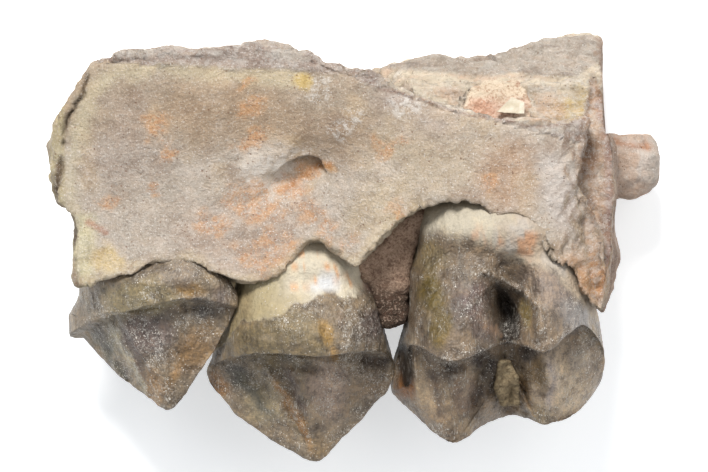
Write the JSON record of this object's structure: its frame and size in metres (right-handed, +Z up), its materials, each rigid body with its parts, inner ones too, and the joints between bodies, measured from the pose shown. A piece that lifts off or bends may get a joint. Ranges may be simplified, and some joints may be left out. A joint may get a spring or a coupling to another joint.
{
  "type": "fossil oreodont jaw",
  "caption": "Broken piece of a fossil oreodont's upper jaw with pointed cheek teeth in the bone, lying on its outer side",
  "frame": {"origin": "centre of the bounding box's base, on the surface that the jaw lies on", "axes": "+X along the tooth row from the front of the mouth to the back, +Y from the tooth tips to the middle of the palate, +Z up"},
  "size_m": [0.04, 0.028, 0.0179],
  "materials": {
    "bone": "dry mineralised bone, pale pink-grey and tan with rust spots, matt and finely pitted",
    "enamel": "olive, brown and purple-grey tooth enamel with a soft gloss and fine white scratches",
    "sediment": "pink fine-grained siltstone, matt and granular",
    "dark_sediment": "dark red-brown siltstone, matt and granular",
    "splinter": "white splinter of bone, smooth and slightly waxy"
  },
  "bodies": {
    "root": {"jaw_bone": "bone", "front_premolar": "enamel", "rear_premolar": "enamel", "molar": "enamel", "pocket_sediment": "sediment", "bone_splinter": "splinter", "sinus_sediment": "sediment", "between_teeth_sediment": "dark_sediment", "groove_sediment": "sediment"}
  },
  "joints": []
}
